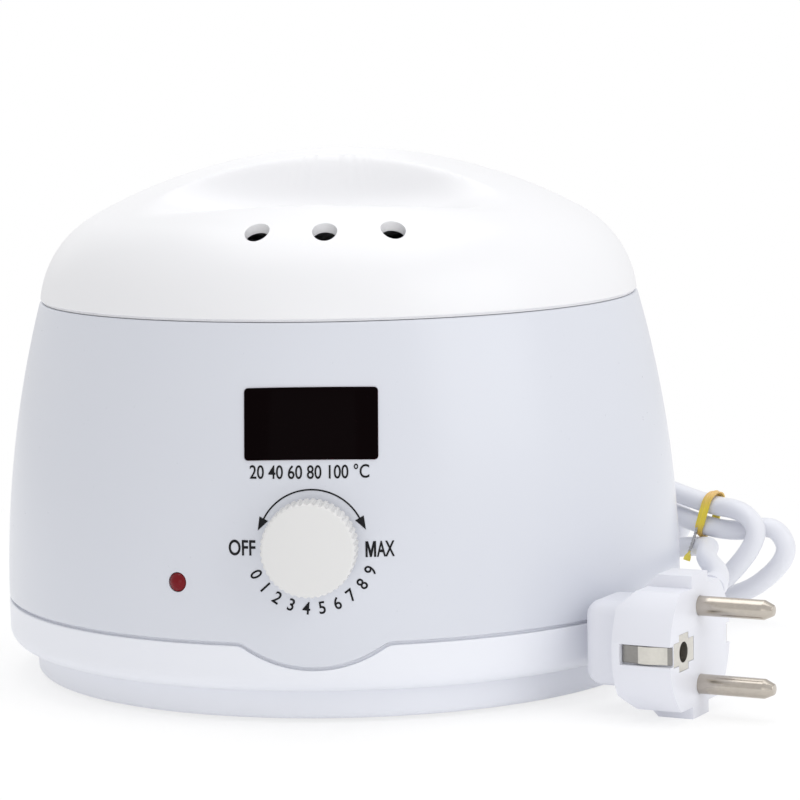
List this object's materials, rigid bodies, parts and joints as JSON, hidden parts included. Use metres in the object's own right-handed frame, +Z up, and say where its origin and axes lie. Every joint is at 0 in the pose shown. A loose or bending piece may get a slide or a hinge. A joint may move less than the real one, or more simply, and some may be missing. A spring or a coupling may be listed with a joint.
{
  "type": "wax heater",
  "caption": "Round countertop wax heater with a lift-out metal pot in a heated bowl, a domed lid with a grip ridge, a rotary thermostat, a temperature window and a tied mains lead.",
  "frame": {"origin": "centre of the heater's axis in the plane of the four feet, on the surface it stands on", "axes": "+Z up along the heater's axis, -Y towards the front with the knob and the window, +X to the right"},
  "size_m": [0.2091, 0.2513, 0.1342],
  "materials": {
    "body_white": "glossy moulded white",
    "base_white": "satin moulded white",
    "lid_white": "satin moulded white",
    "knob_white": "matt warm white",
    "window_black": "smoked glossy black",
    "lens_red": "translucent dark red",
    "pot_aluminium": "brushed",
    "bowl_aluminium": "pressed, dull",
    "band_steel": "dull",
    "screw_steel": "zinc plated",
    "part_black": "matt black",
    "part_cream": "matt cream",
    "board_green": "coated board",
    "wire_grey": "insulated wire",
    "cord_white": "smooth flexible white",
    "plug_white": "moulded white",
    "pin_nickel": "nickel plated",
    "earth_steel": "plated strip",
    "tie_gold": "gold foil strip",
    "foot_grey": "soft rubber"
  },
  "bodies": {
    "housing": {"housing": "body_white", "base": "base_white", "heating_bowl": "bowl_aluminium", "heater_band": "band_steel", "band_bolt": "screw_steel", "base_screws": "screw_steel", "bowl_screws": "screw_steel", "board_screws": "screw_steel", "clamp_screws": "screw_steel", "terminal_screws": "screw_steel", "rubber_feet": "foot_grey", "fuse_clip": "band_steel", "thermal_fuse": "screw_steel", "temperature_probe": "screw_steel", "thermostat": "part_cream", "thermostat_nut": "screw_steel", "display_window": "window_black", "display_digits": "part_black", "display_board": "board_green", "indicator_lens": "lens_red", "indicator_lamp": "part_cream", "cord_gland": "cord_white", "inner_cord": "cord_white", "cord_clamp": "part_cream", "terminal_block": "part_cream", "wiring": "wire_grey", "cord_lead": "cord_white", "cord_hank": "cord_white", "cord_tail": "cord_white", "twist_tie": "tie_gold", "plug_body": "plug_white", "plug_pins": "pin_nickel", "plug_earth_clips": "earth_steel", "plug_earth_socket": "earth_steel"},
    "pot": {"wax_pot": "pot_aluminium"},
    "lid": {"lid": "lid_white"},
    "knob": {"knob": "knob_white", "thermostat_shaft": "screw_steel"}
  },
  "joints": [
    {"name": "pot_lift", "type": "slide", "parent": "housing", "child": "pot", "axis": [0, 0, 1], "range_m": [0, 0.1]},
    {"name": "lid_lift", "type": "slide", "parent": "pot", "child": "lid", "axis": [0, 0, 1], "range_m": [0, 0.12]},
    {"name": "knob_turn", "type": "hinge", "parent": "housing", "child": "knob", "pos_m": [0, -0.0925, 0.0445], "axis": [0, 1, 0], "range_deg": [0, 180]}
  ]
}
